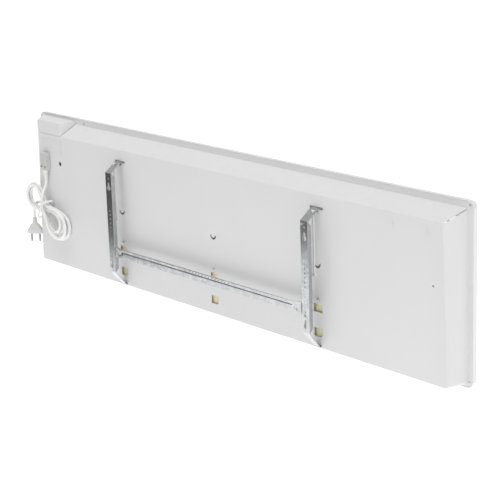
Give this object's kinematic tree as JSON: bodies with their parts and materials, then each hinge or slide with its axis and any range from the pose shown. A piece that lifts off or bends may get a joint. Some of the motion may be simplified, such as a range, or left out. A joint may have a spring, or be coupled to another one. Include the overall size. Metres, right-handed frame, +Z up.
{
  "type": "wall-hung convector heater",
  "caption": "Slim white wall-hung convector heater with a galvanised hook-on wall bracket, a bundled mains lead with a two-pin plug, and a small control panel.",
  "frame": {"origin": "middle of the bracket's rail where it meets the wall, on the rail's lower band", "axes": "+X towards the cord end of the heater, which is the left end seen from behind, +Y into the wall, +Z up"},
  "size_m": [1.2907, 0.0775, 0.3296],
  "materials": {
    "white_enamel": "satin powder coat",
    "white_plastic": "matte moulded",
    "white_pvc": "satin flexible",
    "grey_plastic": "fine matte",
    "dark_plastic": "gloss",
    "galvanised_steel": "zinc coated",
    "yellow_zinc": "yellow passivated",
    "bright_steel": "bright zinc",
    "aluminium": "as extruded",
    "ceramic": "unglazed ceramic",
    "circuit_board": "solder resist",
    "label_film": "bare silver grey film",
    "brown_wire": "flexible",
    "blue_wire": "flexible"
  },
  "bodies": {
    "wall_bracket": {"bracket_strip_left": "galvanised_steel", "bracket_strip_right": "galvanised_steel", "bracket_rail": "galvanised_steel", "rail_rivet_left": "bright_steel", "rail_rivet_right": "bright_steel"},
    "heater": {"control_board": "circuit_board", "control_housing": "white_enamel", "control_panel": "grey_plastic", "cord_entry": "white_plastic", "cord_hank": "white_pvc", "cord_lead": "white_pvc", "cord_tail": "white_pvc", "cord_tie": "white_pvc", "display_window": "dark_plastic", "element_support_1": "yellow_zinc", "element_support_2": "yellow_zinc", "element_support_3": "yellow_zinc", "element_terminal_1": "ceramic", "element_terminal_2": "ceramic", "entry_screw_1": "bright_steel", "entry_screw_2": "bright_steel", "flange_screw_1": "bright_steel", "flange_screw_2": "bright_steel", "flange_screw_3": "bright_steel", "flange_screw_4": "bright_steel", "front_panel": "white_enamel", "heating_element": "aluminium", "outlet_grille": "white_enamel", "overheat_cutout": "dark_plastic", "plug_body": "white_pvc", "plug_pin_1": "bright_steel", "plug_pin_2": "bright_steel", "rating_label": "label_film", "rear_shell": "white_enamel", "room_sensor": "dark_plastic", "strain_relief": "white_pvc", "support_screw_1": "bright_steel", "support_screw_2": "bright_steel", "support_screw_3": "bright_steel", "terminal_block": "white_plastic", "wire_element": "brown_wire", "wire_live": "brown_wire", "wire_neutral": "blue_wire"},
    "lock_rod_left": {"lock_rod_left": "white_plastic"},
    "lock_rod_right": {"lock_rod_right": "white_plastic"},
    "button_power": {"button_power": "white_plastic"},
    "button_minus": {"button_minus": "white_plastic"},
    "button_plus": {"button_plus": "white_plastic"}
  },
  "joints": [
    {"name": "heater_tilt", "type": "hinge", "parent": "wall_bracket", "child": "heater", "pos_m": [0, -0.0315, -0.0708], "axis": [1, 0, 0], "range_deg": [0, 15]},
    {"name": "lock_left_lift", "type": "slide", "parent": "wall_bracket", "child": "lock_rod_left", "axis": [0, 0, 1], "range_m": [0, 0.008]},
    {"name": "lock_right_lift", "type": "slide", "parent": "wall_bracket", "child": "lock_rod_right", "axis": [0, 0, 1], "range_m": [0, 0.008]},
    {"name": "button_power_press", "type": "slide", "parent": "heater", "child": "button_power", "axis": [0, 1, 0], "range_m": [0, 0.0015], "stiffness_N_per_m": 400, "springref_m": -0.001},
    {"name": "button_minus_press", "type": "slide", "parent": "heater", "child": "button_minus", "axis": [0, 1, 0], "range_m": [0, 0.0015], "stiffness_N_per_m": 400, "springref_m": -0.001},
    {"name": "button_plus_press", "type": "slide", "parent": "heater", "child": "button_plus", "axis": [0, 1, 0], "range_m": [0, 0.0015], "stiffness_N_per_m": 400, "springref_m": -0.001}
  ]
}
